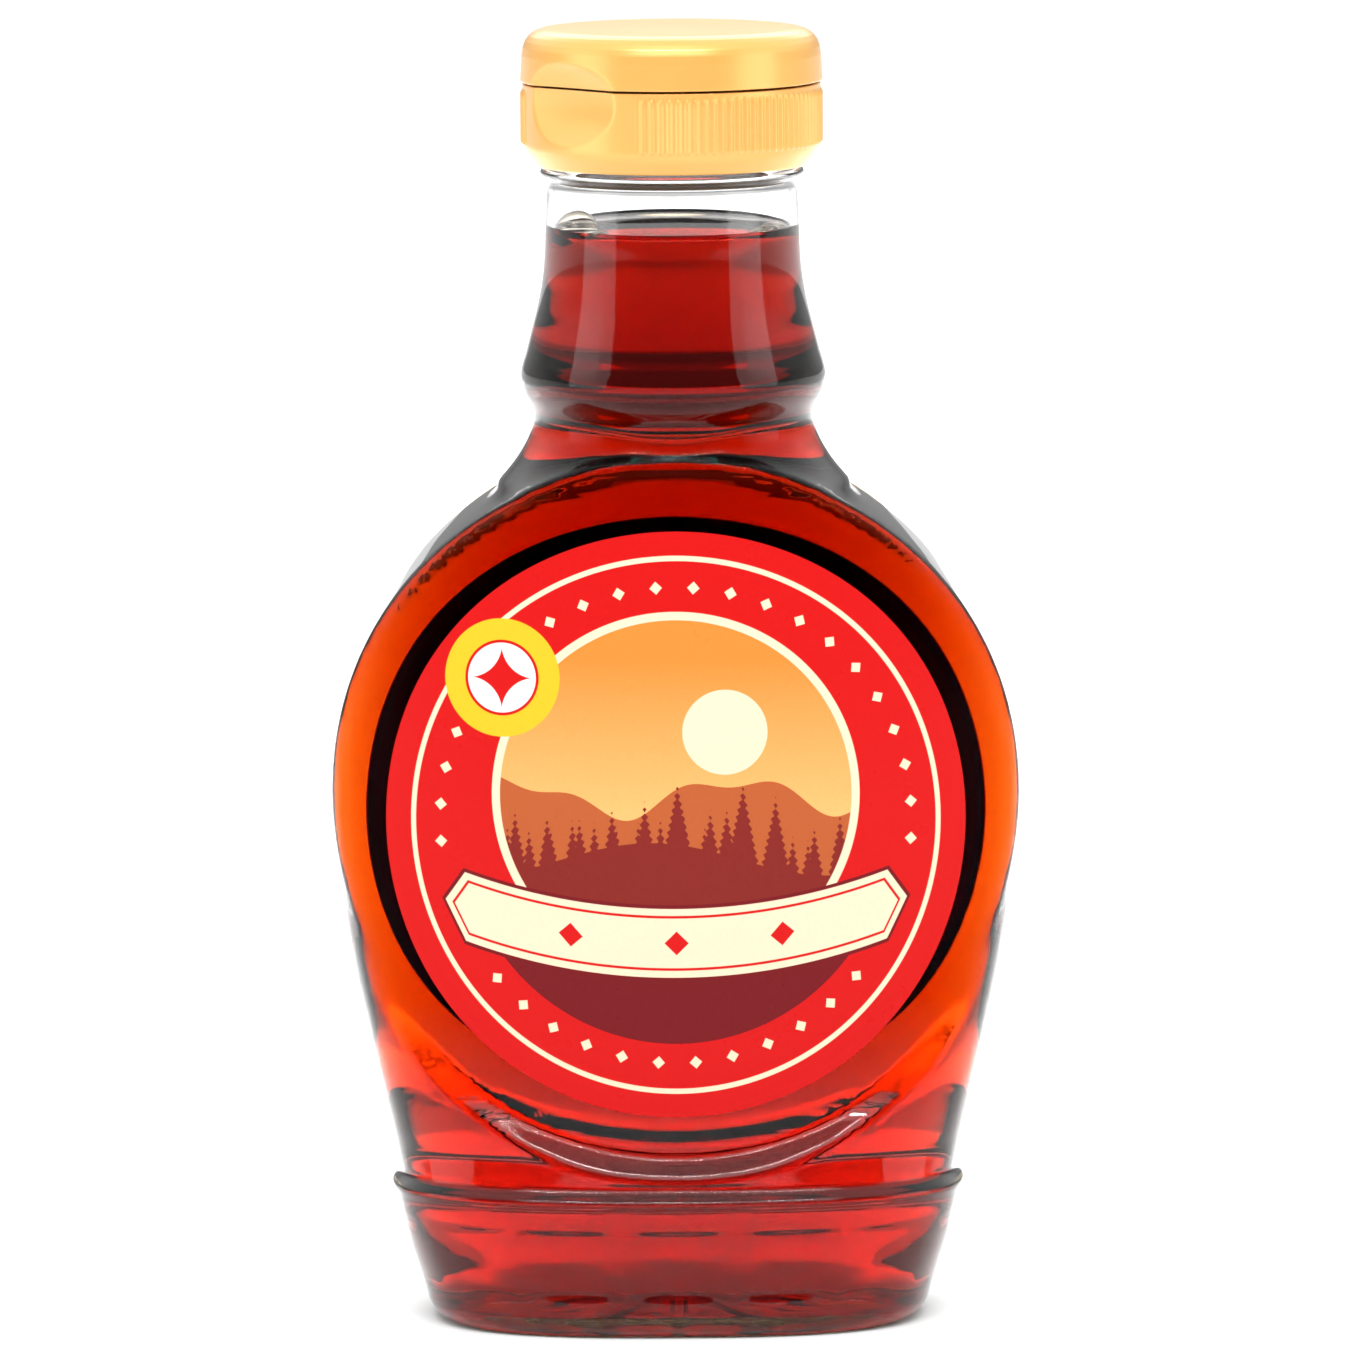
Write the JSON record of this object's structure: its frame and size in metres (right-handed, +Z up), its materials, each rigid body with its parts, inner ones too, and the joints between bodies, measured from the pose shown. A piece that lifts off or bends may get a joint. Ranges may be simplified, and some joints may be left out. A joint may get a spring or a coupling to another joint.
{
  "type": "maple syrup bottle",
  "caption": "Clear flask-shaped plastic bottle of amber syrup with a ribbed gold flip-top cap and round front and back labels.",
  "frame": {"origin": "centre of the foot, on the surface the bottle stands on", "axes": "+Z up through the neck and cap, -Y out of the front label, +X to the right seen from the front"},
  "size_m": [0.0912, 0.0418, 0.172],
  "materials": {
    "clear_plastic": "clear blown plastic, glossy",
    "syrup": "clear amber liquid",
    "gold_plastic": "pearly moulded plastic, satin",
    "label_film": "printed film, satin"
  },
  "bodies": {
    "filled_bottle": {"bottle": "clear_plastic", "syrup": "syrup", "cap_base": "gold_plastic", "front_label": "label_film", "back_label": "label_film"},
    "lid": {"cap_lid": "gold_plastic"}
  },
  "joints": [
    {"name": "lid_hinge", "type": "hinge", "parent": "filled_bottle", "child": "lid", "pos_m": [0.01418, 0.01418, 0.1648], "axis": [-0.7071, 0.7071, 0], "range_deg": [0, 130]}
  ]
}
